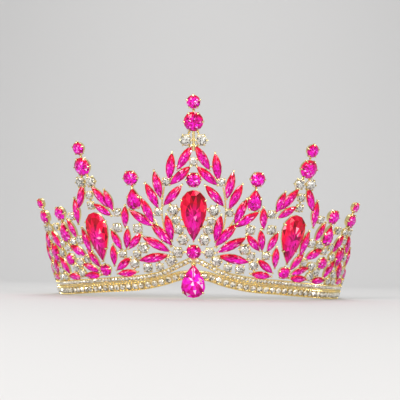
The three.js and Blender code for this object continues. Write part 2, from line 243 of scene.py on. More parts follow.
def blendColours(tree, share, a, b):
    return node(tree, "ShaderNodeMix", {"Factor": share, 6: a, 7: b}, data_type="RGBA").outputs[2]


def ramp(tree, share, stops):
    made = node(tree, "ShaderNodeValToRGB", {"Fac": share})
    elements = made.color_ramp.elements
    while len(elements) < len(stops):
        elements.new(0.5)
    for element, (position, colour) in zip(elements, stops):
        element.position = position
        element.color = (*colour, 1)
    return made.outputs["Color"]


goldLook = {
    "bright": (1.0, 0.87, 0.48, 1), "deep": (0.86, 0.63, 0.23, 1), "patchSize": 240.0,
    "roughness": (0.14, 0.32), "grainSize": 1700.0, "grainDepth": 0.00008,
}


def makeGold():
    material, tree, shader = newMaterial("polished_gold_plate")
    place = node(tree, "ShaderNodeTexCoord").outputs["Object"]
    cloud = node(tree, "ShaderNodeTexNoise", {"Vector": place, "Scale": goldLook["patchSize"], "Detail": 3.0})
    grain = node(tree, "ShaderNodeTexNoise", {"Vector": place, "Scale": goldLook["grainSize"], "Detail": 2.0})
    low, high = goldLook["roughness"]
    rough = node(tree, "ShaderNodeMapRange", {"Value": cloud.outputs["Fac"], "To Min": low, "To Max": high})
    bump = node(tree, "ShaderNodeBump", {"Height": grain.outputs["Fac"], "Strength": 0.3,
                                         "Distance": goldLook["grainDepth"]})
    tint = blendColours(tree, cloud.outputs["Fac"], goldLook["deep"], goldLook["bright"])
    tree.links.new(tint, shader.inputs["Base Color"])
    tree.links.new(rough.outputs[0], shader.inputs["Roughness"])
    tree.links.new(bump.outputs[0], shader.inputs["Normal"])
    shader.inputs["Metallic"].default_value = 1.0
    return material


# glass with foil behind it: the pink or clear is the glass's own colour, but each facet's colour is also
# painted a random step lighter or darker, as painted light and shade, and each facet mirrors its own way
# under a clear coat. rim runs from the middle to the edge, lift from a stone's bottom to its top, and the two
# with the facet's glint say how far its colour goes from the body's to the edge's: the edge colour is painted
# light on the top and rim of a stone
glassLooks = {
    # each ramp runs from a facet in painted shade to a near-white painted highlight at its top end; body is
    # the glass's own colour under that painted light and shade, edge is the colour of the painted light on a
    # stone's top and rim
    "pink": {
        "name": "hot_pink_foiled_glass", "metallic": 0.2, "roughness": 0.12, "coat": 0.3, "paintedLight": (0.2, 0.8),
        "body": ((0.0, (0.2, 0.0, 0.05)), (0.2, (0.5, 0.0, 0.15)), (0.5, (0.8, 0.002, 0.36)),
                 (0.93, (0.95, 0.01, 0.76)), (1.0, (1, 0.7, 0.95))),
        "edge": ((0.0, (0.16, 0.0, 0.005)), (0.25, (0.5, 0.0, 0.015)), (0.6, (0.8, 0.002, 0.05)),
                 (0.94, (0.95, 0.01, 0.06)), (1.0, (1, 0.45, 0.6))),
    },
    "clear": {
        "name": "clear_foiled_glass", "metallic": 0.4, "roughness": 0.08, "coat": 0.8, "paintedLight": (0.3, 1.1),
        "body": ((0.0, (0.05, 0.05, 0.04)), (0.25, (0.25, 0.24, 0.21)), (0.55, (0.58, 0.56, 0.51)),
                 (1.0, (0.9, 0.89, 0.85))),
        "edge": ((0.0, (0.25, 0.19, 0.09)), (0.3, (0.66, 0.58, 0.4)), (0.6, (0.95, 0.88, 0.68)),
                 (1.0, (1.0, 0.97, 0.86))),
    },
}
glassMake = {"liftShare": 0.55, "rimShare": 0.55, "rimPower": 2.0, "glintShare": 0.25,
             "specular": 0.12, "coatRoughness": 0.02, "coatIor": 1.55}


def makeGlass(look):
    material, tree, shader = newMaterial(look["name"])
    rim, lift, glint, tilt = (node(tree, "ShaderNodeAttribute", attribute_name=name)
                              for name in ("rim", "lift", "glint", "tilt"))
    rimPower = maths(tree, "POWER", rim.outputs["Fac"], glassMake["rimPower"])
    # a stone's top and rim get painted light: this share mixes the edge colour into the body colour
    paintedLight = maths(tree, "ADD", maths(tree, "MULTIPLY", lift.outputs["Fac"], glassMake["liftShare"]),
                 maths(tree, "MULTIPLY", rimPower, glassMake["rimShare"]))
    paintedLight = maths(tree, "ADD", paintedLight, maths(tree, "MULTIPLY", glint.outputs["Fac"], glassMake["glintShare"]))
    low, high = look["paintedLight"]
    paintedLight = node(tree, "ShaderNodeMapRange", {"Value": paintedLight, "From Min": low, "From Max": high}).outputs[0]
    # the facet's glint picks its painted light or shade on each ramp, up to a near-white painted highlight
    body = ramp(tree, glint.outputs["Fac"], look["body"])
    edge = ramp(tree, glint.outputs["Fac"], look["edge"])
    tree.links.new(blendColours(tree, paintedLight, body, edge), shader.inputs["Base Color"])
    facing = node(tree, "ShaderNodeNewGeometry").outputs["Normal"]
    turned = node(tree, "ShaderNodeVectorMath", {0: facing, 1: tilt.outputs["Vector"]}, operation="ADD")
    turned = node(tree, "ShaderNodeVectorMath", {0: turned.outputs[0]}, operation="NORMALIZE")
    tree.links.new(turned.outputs[0], shader.inputs["Normal"])
    shader.inputs["Metallic"].default_value = look["metallic"]
    shader.inputs["Roughness"].default_value = look["roughness"]
    shader.inputs["Specular IOR Level"].default_value = glassMake["specular"]
    shader.inputs["Coat Weight"].default_value = look["coat"]
    shader.inputs["Coat Roughness"].default_value = glassMake["coatRoughness"]
    shader.inputs["Coat IOR"].default_value = glassMake["coatIor"]
    return material


gold = makeGold()
glasses = {name: makeGlass(look) for name, look in glassLooks.items()}
print("materials made")


# modelling helpers
def toObject():
    bpy.ops.object.mode_set(mode="OBJECT")


def toEdit(obj, mode="FACE"):
    if bpy.context.mode != "OBJECT":
        toObject()
    bpy.ops.object.select_all(action="DESELECT")
    bpy.context.view_layer.objects.active = obj
    obj.select_set(True)
    bpy.ops.object.mode_set(mode="EDIT")
    bpy.ops.mesh.select_mode(type=mode)


def pickFaces(obj, test):
    # leaves only the wanted faces selected, in edit mode
    toEdit(obj)
    bpy.ops.mesh.select_all(action="DESELECT")
    toObject()
    for face in obj.data.polygons:
        face.select = test(face.center, face.normal)
    bpy.ops.object.mode_set(mode="EDIT")


def pickEdges(obj, test):
    toEdit(obj, "EDGE")
    bpy.ops.mesh.select_all(action="DESELECT")
    toObject()
    for edge in obj.data.edges:
        edge.select = test(*(obj.data.vertices[i].co for i in edge.vertices))
    bpy.ops.object.mode_set(mode="EDIT")


def extrude(x, y, z):
    bpy.ops.mesh.extrude_region_move(TRANSFORM_OT_translate={"value": (x * mm, y * mm, z * mm)})


def resizeAll(obj, x, y, z):
    toEdit(obj)
    bpy.ops.mesh.select_all(action="SELECT")
    bpy.ops.transform.resize(value=(x, y, z), center_override=(0, 0, 0))


def pearWidth(y):
    return 1.3 * math.sqrt((1 - y) / 2)


def leafWidth(y):
    return max(0.0, 1 - y * y) ** 0.45


shapeWidths = {"round": lambda y: 1.0, "pear": pearWidth, "leaf": leafWidth}


def shapeOutline(obj, cut):
    # each ring of a round blank is drawn in to the outline of the cut
    for v in obj.data.vertices:
        reach = math.hypot(v.co.x, v.co.y)
        if reach > 1e-6:
            v.co.x *= shapeWidths[cut["shape"]](max(-1.0, min(1.0, v.co.y / reach)))


# cuts: width and length at the girdle in mm, and where the claws stand round it. A cut's painted light shift
# moves the whole stone further into the red or lighter painted light of its top and rim, and shine gives it
# more facets with a near-white painted highlight
fourClaws = (45, 135, 225, 315)
sixClaws = (30, 90, 150, 210, 270, 330)


def roundCut(size, sides, claws, paintedLightShift=0.0):
    return {"shape": "round", "width": size, "length": size, "sides": sides, "paintedLightShift": paintedLightShift,
            "shine": 0.0, "claws": claws}


def pearCut(width, length, claws, paintedLightShift=0.0, shine=0.0):
    return {"shape": "pear", "width": width, "length": length, "sides": 16, "paintedLightShift": paintedLightShift,
            "shine": shine, "claws": claws}


def leafCut(width, length):
    return {"shape": "leaf", "width": width, "length": length, "sides": 16, "paintedLightShift": 0.2,
            "shine": 0.0, "claws": (0, 180)}


cuts = {
    "round10": roundCut(10, 16, sixClaws, -0.1),
    "round8": roundCut(8, 16, sixClaws, -0.35),
    "round7": roundCut(7, 16, (0, 72, 144, 216, 288), -0.35),
    "round6": roundCut(6, 12, fourClaws),
    "clear6": roundCut(6, 12, sixClaws, -0.15),
    "clear5": roundCut(5.4, 12, fourClaws, -0.15),
    "clear4": roundCut(4.7, 12, fourClaws, -0.15),
    "pearLarge": pearCut(14, 28, (0, 62, 128, 232, 298), 0.55),
    "pearDrop": pearCut(13, 18, (0, 70, 135, 225, 290), -0.8, 0.07),
    "pearSmall": pearCut(8, 12, (0, 80, 150, 210, 280)),
    "leafLarge": leafCut(5.3, 17.2),
    "leafNamed": leafCut(4.9, 15.1),
    "leaf": leafCut(4.9, 15.3),
    "leafEnd": leafCut(5.6, 12.4),
    "leafSmall": leafCut(4.4, 12.4),
    "railLow": roundCut(3.5, 8, (), 0.7),
    "railTop": roundCut(2.3, 8, (), 0.7),
}
stoneCut = {
    "crown": 0.2, "crownMost": 1.8, "pavilion": 0.2, "pavilionMost": 1.6,  # shares of the width, most in mm
    "culet": 0.34, "girdle": 0.12, "table": 0.56, "star": 0.5,
    "firstRow": (0.48, 0.82), "secondRise": 0.4, "onlyRise": 0.88,  # the rows rise and draw in
    "spread": 0.34, "away": 1.6,  # how far a facet's mirror turns, at random and outward
    "orderStep": 0.013,
}
cupMake = {"gap": 0.05, "wall": 0.26, "rim": 0.16, "floor": 0.8, "smallDepth": 1.6, "taper": 0.86,
           "shoulder": 0.45, "pocket": 0.3}
clawMake = {"round": 0.7, "pear": 1.0, "leaf": 0.9, "thick": 0.45, "tall": 1.3, "sink": 0.35,
            "lean": 0.2, "reach": 0.7, "tip": 0.6, "bevel": 0.1}


def crownOf(cut):
    return min(stoneCut["crown"] * cut["width"], stoneCut["crownMost"])


def pavilionOf(cut):
    return min(stoneCut["pavilion"] * cut["width"], stoneCut["pavilionMost"])


def makeStone(name, cut):
    # a cone for the back, a girdle, two rows of facets turned by half a step, and the table
    # with the star that the back shows through it
    bpy.ops.mesh.primitive_cone_add(vertices=cut["sides"], radius1=stoneCut["culet"], radius2=1, depth=1,
                                    end_fill_type="NGON", location=(0, 0, -0.5))
    stone = bpy.context.object
    stone.name = name
    bpy.ops.object.transform_apply(location=True, rotation=True, scale=True)
    half = math.pi / cut["sides"]
    pickFaces(stone, lambda centre, normal: normal.z > 0.9)
    bpy.ops.mesh.extrude_region_move(TRANSFORM_OT_translate={"value": (0, 0, stoneCut["girdle"])})
    rise, shrink = stoneCut["firstRow"]
    facetRows = ((rise, shrink), (stoneCut["secondRise"], stoneCut["table"] / shrink), (0, stoneCut["star"]))
    if cut["sides"] == 8:  # the smallest stones have one row
        facetRows = ((stoneCut["onlyRise"], stoneCut["table"]),)
    for rise, shrink in facetRows:
        bpy.ops.mesh.extrude_region_move(TRANSFORM_OT_translate={"value": (0, 0, rise)})
        bpy.ops.transform.resize(value=(shrink, shrink, 1), center_override=(0, 0, 0))
        bpy.ops.transform.rotate(value=half, orient_axis="Z", center_override=(0, 0, 0))
    bpy.ops.mesh.poke()
    pickFaces(stone, lambda centre, normal: normal.z > 0.1)
    bpy.ops.mesh.quads_convert_to_tris(quad_method="SHORTEST_DIAGONAL", ngon_method="BEAUTY")
    toObject()
    rim = stone.data.attributes.new("rim", "FLOAT", "POINT")
    for v in stone.data.vertices:
        rim.data[v.index].value = min(1.0, math.hypot(v.co.x, v.co.y))
        v.co.z *= (crownOf(cut) if v.co.z > 0 else pavilionOf(cut)) * mm
    shapeOutline(stone, cut)
    resizeAll(stone, cut["width"] / 2 * mm, cut["length"] / 2 * mm, 1)
    bpy.ops.mesh.remove_doubles(threshold=1e-6)
    bpy.ops.mesh.normals_make_consistent(inside=False)
    toObject()
    return stone


def facetOrder(stone):
    # from the table to the back, then by place, so that each facet has the same draws every time
    step = stoneCut["orderStep"] * mm

    def place(face):
        return [round(-face.center.z / step), round(face.center.x / step), round(face.center.y / step)]

    return [face.index for face in sorted(stone.data.polygons, key=place)]


def outlinePoint(cut, degrees, margin):
    # a point round the girdle, its outward direction, and the point set out by a margin
    here, ahead = (
        Vector((math.sin(a) * shapeWidths[cut["shape"]](math.cos(a)) * cut["width"] / 2,
                math.cos(a) * cut["length"] / 2, 0))
        for a in (math.radians(degrees), math.radians(degrees) + 0.02)
    )
    if cut["shape"] != "round" and degrees % 180 == 0:  # the tip of a pear or leaf
        out = Vector((0, math.copysign(1, here.y), 0))
    else:
        out = (ahead - here).cross(Vector((0, 0, 1))).normalized() * -1
    if out.dot(here) < 0:
        out = -out
    return here + out * margin, out


def makeClaw(cut, degrees):
    # a bar beside the cup that bends in over the stone's edge
    point, out = outlinePoint(cut, degrees, cupMake["gap"] + cupMake["wall"] * 0.7)
    tall = crownOf(cut)
    bpy.ops.mesh.primitive_cube_add(size=1, location=(0, 0, 0))
    claw = bpy.context.object
    resizeAll(claw, clawMake[cut["shape"]] * mm, clawMake["thick"] * mm, clawMake["tall"] * mm)
    pickFaces(claw, lambda centre, normal: normal.z > 0.9)
    extrude(0, -clawMake["lean"], tall * 0.3)
    extrude(0, -clawMake["reach"], tall * 0.22)
    bpy.ops.transform.resize(value=[clawMake["tip"]] * 3)
    bpy.ops.mesh.select_all(action="SELECT")
    bpy.ops.mesh.bevel(offset=clawMake["bevel"] * mm, segments=1)
    toObject()
    across = Vector((out.y, -out.x, 0))
    matrix = Matrix((across, out, Vector((0, 0, 1)))).transposed().to_4x4()
    matrix.translation = (point + Vector((0, 0, -clawMake["sink"]))) * mm
    claw.data.transform(matrix)
    return claw


def makeCup(name, cut):
    # the stone's outline set out by the wall and drawn down, a pocket pressed into the top
    bpy.ops.mesh.primitive_circle_add(vertices=max(cut["sides"], 16), radius=1, fill_type="NGON")
    cup = bpy.context.object
    cup.name = name
    shapeOutline(cup, cut)
    resizeAll(cup, cut["width"] / 2 * mm, cut["length"] / 2 * mm, 1)
    bpy.ops.mesh.remove_doubles(threshold=1e-6)
    bpy.ops.mesh.inset(thickness=(cupMake["gap"] + cupMake["wall"]) * mm, use_outset=True,
                       use_even_offset=True, use_boundary=True)
    bpy.ops.mesh.select_all(action="SELECT")
    bpy.ops.mesh.dissolve_limited(angle_limit=0.01)
    bpy.ops.mesh.select_all(action="SELECT")
    small = cut["shape"] == "leaf" or name.startswith("cup_clear")
    depth = cupMake["smallDepth"] if small else pavilionOf(cut) + cupMake["floor"]
    bpy.ops.transform.translate(value=(0, 0, cupMake["rim"] * mm))
    extrude(0, 0, -(cupMake["rim"] + depth * cupMake["shoulder"]))
    extrude(0, 0, -depth * (1 - cupMake["shoulder"]))
    bpy.ops.transform.resize(value=(cupMake["taper"], cupMake["taper"], 1), center_override=(0, 0, 0))
    bpy.ops.mesh.select_all(action="SELECT")
    bpy.ops.mesh.normals_make_consistent(inside=False)
    pickFaces(cup, lambda centre, normal: normal.z > 0.9)
    bpy.ops.mesh.inset(thickness=cupMake["wall"] * mm)
    extrude(0, 0, -(cupMake["rim"] + cupMake["pocket"]))
    toObject()
    return joinAll(name, [cup] + [makeClaw(cut, degrees) for degrees in cut["claws"]])


def joinAll(name, objs):
    if bpy.context.mode != "OBJECT":
        toObject()
    bpy.ops.object.select_all(action="DESELECT")
    for obj in objs:
        obj.select_set(True)
    bpy.context.view_layer.objects.active = objs[0]
    if len(objs) > 1:
        bpy.ops.object.join()
    objs[0].name = name
    objs[0].data.name = name
    return objs[0]


def copyAt(source, matrix):
    made = source.copy()
    made.data = source.data.copy()
    bpy.context.scene.collection.objects.link(made)
    made.data.transform(matrix)
    return made


def stoneAt(cut, matrix):
    # a placed stone, with its facets' painted light and shade, the painted light on its top and rim, and the
    # way each one mirrors
    stone = copyAt(stoneModels[cut], matrix)
    mesh = stone.data
    middle = matrix.translation
    heights = np.array([v.co.z for v in mesh.vertices])
    # lift runs from the middle to the top of the stone and masks the painted light there; the cut's shift
    # moves the whole stone further into or out of it
    lift = (heights - middle.z) / max(heights.max() - middle.z, middle.z - heights.min())
    lift += cuts[cut]["paintedLightShift"]
    mesh.attributes.new("lift", "FLOAT", "POINT").data.foreach_set("value", lift)
    glint = mesh.attributes.new("glint", "FLOAT", "FACE")
    tilt = mesh.attributes.new("tilt", "FLOAT_VECTOR", "FACE")
    size = max((v.co - middle).length for v in mesh.vertices)
    for index in facetOrders[cut]:
        face = mesh.polygons[index]
        away = (face.center - middle) / size
        jitter = Vector([random.uniform(-1, 1) for _ in range(3)])
        # each facet gets a random painted light or shade, and shine lifts more facets to a near-white painted
        # highlight
        glint.data[face.index].value = min(1.0, random.random() + cuts[cut]["shine"])
        tilt.data[face.index].vector = (away * stoneCut["away"] + jitter) * stoneCut["spread"]
    return stone


def finishPiece(piece, material, smooth=0.0):
    piece.data.materials.clear()
    piece.data.materials.append(material)
    if smooth:
        bpy.ops.object.select_all(action="DESELECT")
        bpy.context.view_layer.objects.active = piece
        piece.select_set(True)
        bpy.ops.object.shade_smooth_by_angle(angle=math.radians(smooth))
    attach(piece, "root")
    return piece


# where the stones sit: as in the solids, with the finest clear stones as well
# name of the solid or None, cut, glass, along, up, turn
centreAxis = [
    ("top_round", "round7", "pink", 0, 98.6, 0),
    ("peak_round", "round10", "pink", 0, 89.4, 0),
    (None, "clear4", "clear", 0, 70.2, 0),
    ("middle_round", "round8", "pink", 0, 61.2, 0),
    ("centre_pear", "pearLarge", "pink", 0, 43.3, 180),
    ("lower_round", "round8", "pink", 0, 24.8, 0),
]
centreSide = [
    ("peak_clear", "clear6", "clear", 3.6, 80.6, 0),
    ("upper_leaf", "leafNamed", "pink", 4.3, 72.1, -31),
    ("outer_leaf", "leafNamed", "pink", 11.2, 67.8, -9),
    ("lower_leaf", "leafNamed", "pink", 6.5, 63.4, -48),
    (None, "clear4", "clear", 13.6, 60.4, 0),
    (None, "leaf", "pink", 18.2, 59, 10),
    (None, "leaf", "pink", 21.4, 53.4, 24),
    (None, "leaf", "pink", 10.6, 53.6, -42),
    (None, "clear6", "clear", 10.6, 46.1, 0),
    (None, "clear4", "clear", 9.3, 40.9, 0),
    (None, "clear5", "clear", 7.8, 36.3, 0),
    (None, "leaf", "pink", 13.2, 37.2, 10),
    (None, "clear6", "clear", 5.9, 31, 0),
    (None, "clear6", "clear", 8.8, 24.4, 0),
    (None, "clear6", "clear", 13, 19.9, 0),
    (None, "clear4", "clear", 19.9, 16.6, 0),
    (None, "clear5", "clear", 27.2, 16, 0),
    (None, "clear5", "clear", 35.3, 18.2, 0),
    ("fan_leaf_a", "leafLarge", "pink", 17.7, 33.9, 40),
    ("fan_leaf_b", "leafLarge", "pink", 21.2, 28.7, 60),
    ("fan_leaf_c", "leafLarge", "pink", 23.1, 21.4, 101),
]
firstBridge = [
    ("bridge_round", "round8", "pink", 31.8, 62.3, 0),
    ("bridge_pear", "pearSmall", "pink", 31.5, 52, 0),
    (None, "leafSmall", "pink", 37.4, 43, -8),
    (None, "leaf", "pink", 24.6, 46, 22),
    (None, "leaf", "pink", 28.4, 42, 54),
    (None, "clear4", "clear", 18.6, 45.2, 0),
    (None, "clear4", "clear", 41.6, 45, 0),
]
innerField = [
    (None, "clear5", "clear", 43, 37.1, 0),
    (None, "clear5", "clear", 30.9, 36.6, 0),
    (None, "clear6", "clear", 28.8, 26.6, 0),
    (None, "clear4", "clear", 33, 23.2, 0),
    (None, "clear4", "clear", 42, 23.4, 0),
    (None, "leafSmall", "pink", 37.9, 31.6, -11),
    (None, "leafSmall", "pink", 33.2, 30.2, -42),
    (None, "leafSmall", "pink", 44.8, 30.8, 22),
    (None, "leafSmall", "pink", 48.2, 22.7, -5),
    (None, "leafSmall", "pink", 42.4, 18, -52),
    (None, "leafSmall", "pink", 40.6, 13.2, -84),
    ("field_round", "round7", "pink", 55.8, 14.6, 0),
]
sideMotif = [
    ("side_top_round", "round7", "pink", 57.9, 78.2, 0),
    ("side_peak_round", "round10", "pink", 57.8, 69, 0),
    (None, "clear6", "clear", 54.5, 61.2, 0),
    (None, "clear6", "clear", 60.9, 61.2, 0),
    (None, "leaf", "pink", 50.4, 53.2, 35),
    (None, "leaf", "pink", 62.6, 53.9, -27),
    (None, "leafSmall", "pink", 45.7, 51.5, 16),
    (None, "leaf", "pink", 68, 46.4, -6),
    (None, "leafSmall", "pink", 50.4, 46.6, 55),
    (None, "clear4", "clear", 57, 54.4, 0),
    (None, "clear4", "clear", 57.2, 49, 0),
    ("side_pear", "pearLarge", "pink", 56.4, 32.4, 180),
]
outerField = [
    (None, "clear4", "clear", 72.8, 43.6, 0),
    (None, "leafSmall", "pink", 74.8, 37.2, 20),
    (None, "clear5", "clear", 70.8, 31, 0),
    (None, "clear4", "clear", 76.5, 30.2, 0),
    (None, "leaf", "pink", 65.6, 30.6, 9),
    (None, "leafSmall", "pink", 63, 20.8, 33),
    (None, "leafEnd", "pink", 74.4, 25.2, 62),
    (None, "clear4", "clear", 68.4, 20.2, 0),
    (None, "clear5", "clear", 75, 18.6, 0),
    (None, "clear5", "clear", 80.4, 15.4, 0),
    (None, "clear5", "clear", 76, 12.8, 0),
    (None, "leafSmall", "pink", 66.8, 15.8, 68),
    (None, "leafSmall", "pink", 67, 11.6, 92),
    ("outer_round", "round7", "pink", 84, 20.4, 0),
]
secondBridge = [
    ("outer_bridge_round", "round8", "pink", 82, 45.6, 0),
    ("outer_bridge_pear", "pearSmall", "pink", 82, 35.6, 0),
    (None, "clear4", "clear", 82.4, 27, 0),
    (None, "clear4", "clear", 87.2, 29.4, 0),
    (None, "clear4", "clear", 89, 38.6, 0),
]
endMotif = [
    ("end_top_round", "round6", "pink", 99, 52.2, 0),
    ("end_peak_round", "round8", "pink", 99.2, 44.6, 0),
    (None, "clear4", "clear", 96.6, 38.2, 0),
    (None, "clear4", "clear", 101.8, 38.2, 0),
    (None, "leafEnd", "pink", 93.4, 31.8, 26),
    (None, "leafEnd", "pink", 105, 31.8, -26),
    (None, "clear4", "clear", 99.2, 33.2, 0),
    ("end_pear", "pearSmall", "pink", 99.2, 24.2, 180),
    (None, "clear5", "clear", 91.2, 24, 0),
    (None, "clear5", "clear", 107.2, 24, 0),
    (None, "leafEnd", "pink", 92.6, 17.2, 28),
    (None, "leafEnd", "pink", 105.8, 17.2, -28),
    (None, "leafSmall", "pink", 84.4, 10.8, 88),
    (None, "leafSmall", "pink", 113.4, 10.6, -88),
    (None, "clear5", "clear", 99.2, 14.4, 0),
    (None, "clear4", "clear", 96, 10.4, 0),
    (None, "clear4", "clear", 102.4, 10.4, 0),
    (None, "leafSmall", "pink", 113.6, 24.6, -20),
    (None, "clear5", "clear", 112.6, 16, 0),
    (None, "leafSmall", "pink", 119.8, 15.4, -56),
    (None, "clear4", "clear", 128, 10, 0),
]
groups = {
    "centre": centreAxis + centreSide, "first_bridges": firstBridge, "inner_field": innerField,
    "side_peaks": sideMotif, "outer_field": outerField, "second_bridges": secondBridge, "ends": endMotif,
}

stoneModels = {name: makeStone("stone_" + name, cut) for name, cut in cuts.items()}
facetOrders = {name: facetOrder(stone) for name, stone in stoneModels.items()}
cupModels = {name: makeCup("cup_" + name, cut) for name, cut in cuts.items() if cut["claws"]}
print("stone and cup models made")

crownCups = []  # of the right half: cut and place, for the solder
for group, rows in groups.items():
    cups = []
    stones = {"pink": [], "clear": []}
    standsFor = {"pink": [], "clear": []}
    for solid, cut, glass, along, up, turn in rows:
        sides = [(1, "")] if along == 0 else [(1, "_right"), (-1, "_left")]
        crownCups.append((cut, seat(along, up, turn)))
        for side, ending in sides:
            matrix = seat(side * along, up, side * turn)
            cups.append(copyAt(cupModels[cut], matrix))
            stones[glass].append(stoneAt(cut, matrix))
            if solid:
                standsFor[glass].append(solid + ending)
    piece = finishPiece(joinAll(group + "_cups", cups), gold, 35)
    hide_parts("crown_frame")
    for glass, made in stones.items():
        if made:
            piece = finishPiece(joinAll(f"{group}_{glass}_stones", made), glasses[glass])
            if standsFor[glass]:
                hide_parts(*standsFor[glass])
    print("set", group)


# wires and solder: every cup is tied to its nearest neighbour, starting from the upper rail
wireMake = {"radius": 0.42, "depth": 0.8, "bite": 0.5, "solder": 0.75, "near": 0.9, "reach": 20}


def makeWire():
    bpy.ops.mesh.primitive_cylinder_add(vertices=8, radius=1, depth=1, location=(0, 0, 0))
    bpy.context.object.name = "wire_model"
    return bpy.context.object


def makeSolder():
    bpy.ops.mesh.primitive_uv_sphere_add(segments=8, ring_count=6, radius=1, location=(0, 0, 0))
    solder = bpy.context.object
    solder.name = "solder_model"
    pickFaces(solder, lambda centre, normal: normal.z < -0.3)
    bpy.ops.transform.resize(value=(1.2, 1.2, 0.5), center_override=(0, 0, 0))
    toObject()
    return solder


wireModel = makeWire()
solderModel = makeSolder()


def wireBetween(a, b, radius):
    length = (b - a).length + 2 * wireMake["bite"] * mm
    turn = (b - a).to_track_quat("Z", "Y").to_matrix().to_4x4()
    size = Matrix.Diagonal((radius * mm, radius * mm, length, 1))
    return copyAt(wireModel, Matrix.Translation((a + b) / 2) @ turn @ size)


def solderAt(place, size):
    turn = Matrix.Rotation(random.uniform(0, 6.28), 4, "Z")
    shape = Matrix.Diagonal((size * mm * random.uniform(0.8, 1.2), size * mm * random.uniform(0.8, 1.2),
                             size * mm * random.uniform(0.7, 1), 1))
    return copyAt(solderModel, Matrix.Translation(place) @ turn @ shape)


def cupEdge(cut, matrix):
    drop = Vector((0, 0, -wireMake["depth"]))
    return np.array([matrix @ ((outlinePoint(cuts[cut], degrees, cupMake["wall"] * 0.5)[0] + drop) * mm)
                     for degrees in range(0, 360, 8)])


def nearest(a, b):
    gaps = np.linalg.norm(a[:, None] - b[None], axis=2)
    i, j = np.unravel_index(gaps.argmin(), gaps.shape)
    return gaps[i, j], Vector(a[i]), Vector(b[j])


def makeSolderWork():
    edges = [cupEdge(cut, matrix) for cut, matrix in crownCups]
    railEdge = np.array([onCrown(along, topUp(along)) for along in np.arange(0, crown["reach"], 0.5)])
    links = []
    waiting = {i: nearest(railEdge, edge) for i, edge in enumerate(edges)}
    while waiting:
        i = min(waiting, key=lambda k: waiting[k][0])
        links.append(waiting.pop(i))
        for k in list(waiting):
            waiting[k] = min(waiting[k], nearest(edges[i], edges[k]), key=lambda link: link[0])
    for i, j in ((i, j) for i in range(len(edges)) for j in range(i)):
        if np.linalg.norm(edges[i].mean(axis=0) - edges[j].mean(axis=0)) < wireMake["reach"] * mm:
            link = nearest(edges[i], edges[j])
            if link[0] < wireMake["near"] * mm:
                links.append(link)
    made = []
    for _, a, b in links:
        for side in (1, -1):
            ends = [Vector((side * p.x, p.y, p.z)) for p in (a, b)]
            made.append(wireBetween(*ends, wireMake["radius"]))
            made.append(solderAt((ends[0] + ends[1]) / 2, wireMake["solder"]))
    return made


# long stems behind the fans, along and up of each point, and a strip behind the peak
stems = {
    "points": (((14.8, 58), (16.6, 51), (17, 42), (15.6, 34), (12.8, 27)),
               ((21.6, 42), (18.4, 36.5), (15, 31), (12.6, 27))),
    "radius": 0.45, "out": -0.9,
    "stripUps": (75.5, 79, 83, 86), "stripRadius": 0.7, "stripOut": -0.4,
}


def tube(name, points, radius):
    curve = bpy.data.curves.new(name, "CURVE")
    curve.dimensions = "3D"
    curve.bevel_depth = radius * mm
    curve.bevel_resolution = 2
    curve.use_fill_caps = True
    curve.resolution_u = 6
    spline = curve.splines.new("NURBS")
    spline.points.add(len(points) - 1)
    for spot, point in zip(spline.points, points):
        spot.co = (*point, 1)
    spline.order_u = 3
    spline.use_endpoint_u = True
    made = bpy.data.objects.new(name, curve)
    bpy.context.scene.collection.objects.link(made)
    bpy.ops.object.select_all(action="DESELECT")
    bpy.context.view_layer.objects.active = made
    made.select_set(True)
    bpy.ops.object.convert(target="MESH")
    return bpy.context.object


wireWork = makeSolderWork()
strip = [onCrown(0, up, stems["stripOut"]) for up in stems["stripUps"]]
wireWork.append(tube("peak_strip", strip, stems["stripRadius"]))
for stem in stems["points"]:
    for side in (1, -1):
        points = [onCrown(side * along, up, stems["out"]) for along, up in stem]
        wireWork.append(tube("stem", points, stems["radius"]))
piece = finishPiece(joinAll("wires_and_solder", wireWork), gold, 50)
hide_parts("crown_frame")
print("wires and solder made", len(piece.data.polygons))


# rails: a channel along the band, with a row of small stones and beads of metal between them
railMake = {
    "low": {"upAt": lowUp, "height": rails["lowHeight"], "thickness": rails["lowThickness"],
            "lip": 0.7, "groove": 0.4, "cut": "railLow", "bead": 0.55,
            "pitch": 4.3, "first": 6.4, "last": 166},
    "top": {"upAt": topUp, "height": rails["topHeight"], "thickness": rails["topThickness"],
            "lip": 0.3, "groove": 0.35, "cut": "railTop", "bead": 0.32,
            "pitch": 2.45, "first": 2.2, "last": 169},
    "steps": 320, "bevel": 0.15,
    "stoneSink": 0.6,  # share of a stone's back that stands above the groove
    "beadPlace": 0.6,  # share of the lip from its edge to a bead
}


def bandCurve(name, upAt):
    # the middle line of a rail, from the left end round the front to the right end
    count = railMake["steps"]
    alongs = [crown["reach"] * (2 * i / count - 1) for i in range(count + 1)]
    points = [onCrown(along, upAt(along)) for along in alongs]
    curve = bpy.data.curves.new(name, "CURVE")
    curve.dimensions = "3D"
    curve.twist_mode = "Z_UP"
    spline = curve.splines.new("POLY")
    spline.points.add(count)
    for spot, point in zip(spline.points, points):
        spot.co = (*point, 1)
    made = bpy.data.objects.new(name, curve)
    bpy.context.scene.collection.objects.link(made)
    return made, sum((b - a).length for a, b in zip(points, points[1:]))


